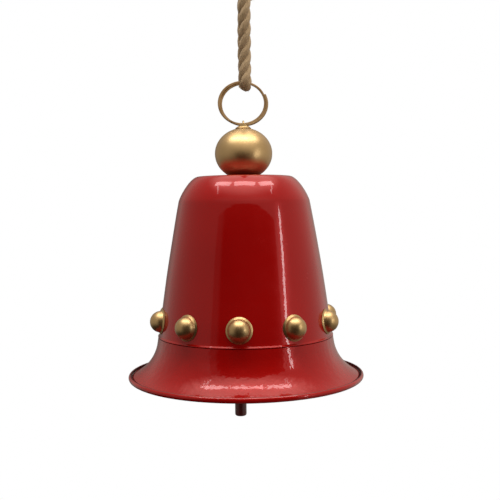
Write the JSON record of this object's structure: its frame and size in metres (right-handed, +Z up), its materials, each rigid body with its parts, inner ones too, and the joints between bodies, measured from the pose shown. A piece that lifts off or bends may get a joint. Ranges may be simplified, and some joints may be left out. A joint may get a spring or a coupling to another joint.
{
  "type": "christmas bell ornament",
  "caption": "Flared sheet-metal hanging bell with a band of domed studs, a ball finial, a split ring on a rope loop, and a rod clapper that swings inside.",
  "frame": {"origin": "inside top of the rope loop, where a hook carries the bell", "axes": "+Z up along the bell's axis, front towards -Y, the split ring lies in the XZ plane"},
  "size_m": [0.1292, 0.1292, 0.2651],
  "materials": {
    "red_enamel": "deep glossy clear-coated red",
    "satin_gold": "satin gold lacquer, fine brushed",
    "ring_brass": "darkened satin brass",
    "plain_steel": "plain zinc-plated",
    "dark_enamel": "dark red enamel, semi-gloss",
    "jute": "coarse natural jute, three strands, hairy"
  },
  "bodies": {
    "hanger": {"rope_loop": "jute", "rope_knot": "jute"},
    "ring": {"split_ring": "ring_brass"},
    "bell": {"waist_shell": "red_enamel", "skirt_shell": "red_enamel", "ball_finial": "satin_gold", "ball_collar": "satin_gold", "eye_bolt": "satin_gold", "crown_washer": "plain_steel", "crown_nut": "plain_steel", "stud_01": "satin_gold", "stud_02": "satin_gold", "stud_03": "satin_gold", "stud_04": "satin_gold", "stud_05": "satin_gold", "stud_06": "satin_gold", "stud_07": "satin_gold", "stud_08": "satin_gold", "stud_09": "satin_gold", "stud_10": "satin_gold", "stud_retainer_01": "plain_steel", "stud_retainer_02": "plain_steel", "stud_retainer_03": "plain_steel", "stud_retainer_04": "plain_steel", "stud_retainer_05": "plain_steel", "stud_retainer_06": "plain_steel", "stud_retainer_07": "plain_steel", "stud_retainer_08": "plain_steel", "stud_retainer_09": "plain_steel", "stud_retainer_10": "plain_steel"},
    "yoke": {"clapper_yoke": "plain_steel", "clapper_pin": "plain_steel"},
    "clapper": {"clapper_rod": "dark_enamel"}
  },
  "joints": [
    {"name": "ring_swing", "type": "hinge", "parent": "hanger", "child": "ring", "pos_m": [0, 0, -0.0867], "axis": [0, 1, 0], "range_deg": [-60, 60]},
    {"name": "bell_swing", "type": "hinge", "parent": "ring", "child": "bell", "pos_m": [0, 0, -0.0982], "axis": [1, 0, 0], "range_deg": [-75, 75]},
    {"name": "yoke_turn", "type": "hinge", "parent": "bell", "child": "yoke", "pos_m": [0, 0, -0.1385], "axis": [0, 0, 1], "continuous": true},
    {"name": "clapper_swing", "type": "hinge", "parent": "yoke", "child": "clapper", "pos_m": [-0.0032, 0, -0.148], "axis": [0, 1, 0], "range_deg": [-32.5, 29.2]}
  ]
}
